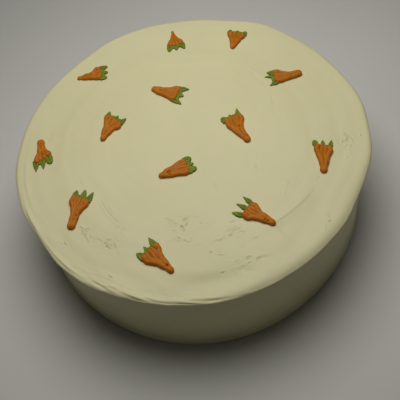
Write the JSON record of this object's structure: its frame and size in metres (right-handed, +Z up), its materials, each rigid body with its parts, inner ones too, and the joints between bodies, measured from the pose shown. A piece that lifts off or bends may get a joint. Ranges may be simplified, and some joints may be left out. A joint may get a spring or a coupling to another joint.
{
  "type": "frosted round carrot cake",
  "caption": "Whole round cake under a smooth coat of cream frosting, with small piped icing carrots laid on its top.",
  "frame": {"origin": "centre of the flat underside, on the surface that the cake stands on", "axes": "+Z up through the cake, -Y the front, towards the side that the viewer faces, +X to the viewer's right"},
  "size_m": [0.2592, 0.2596, 0.0791],
  "materials": {
    "frosting": "pale yellow cream frosting, spread smooth by a palette knife, soft satin with faint knife marks",
    "orange_icing": "orange royal icing piped in ropes and dried to a low sheen",
    "green_icing": "leaf green royal icing, piped and dried to a low sheen"
  },
  "bodies": {
    "root": {"cake": "frosting", "carrot_01_root": "orange_icing", "carrot_01_leaves": "green_icing", "carrot_02_root": "orange_icing", "carrot_02_leaves": "green_icing", "carrot_03_root": "orange_icing", "carrot_03_leaves": "green_icing", "carrot_04_root": "orange_icing", "carrot_04_leaves": "green_icing", "carrot_05_root": "orange_icing", "carrot_05_leaves": "green_icing", "carrot_06_root": "orange_icing", "carrot_06_leaves": "green_icing", "carrot_07_root": "orange_icing", "carrot_07_leaves": "green_icing", "carrot_08_root": "orange_icing", "carrot_08_leaves": "green_icing", "carrot_09_root": "orange_icing", "carrot_09_leaves": "green_icing", "carrot_10_root": "orange_icing", "carrot_10_leaves": "green_icing", "carrot_11_root": "orange_icing", "carrot_11_leaves": "green_icing", "carrot_12_root": "orange_icing", "carrot_12_leaves": "green_icing", "carrot_13_root": "orange_icing", "carrot_13_leaves": "green_icing"}
  },
  "joints": []
}
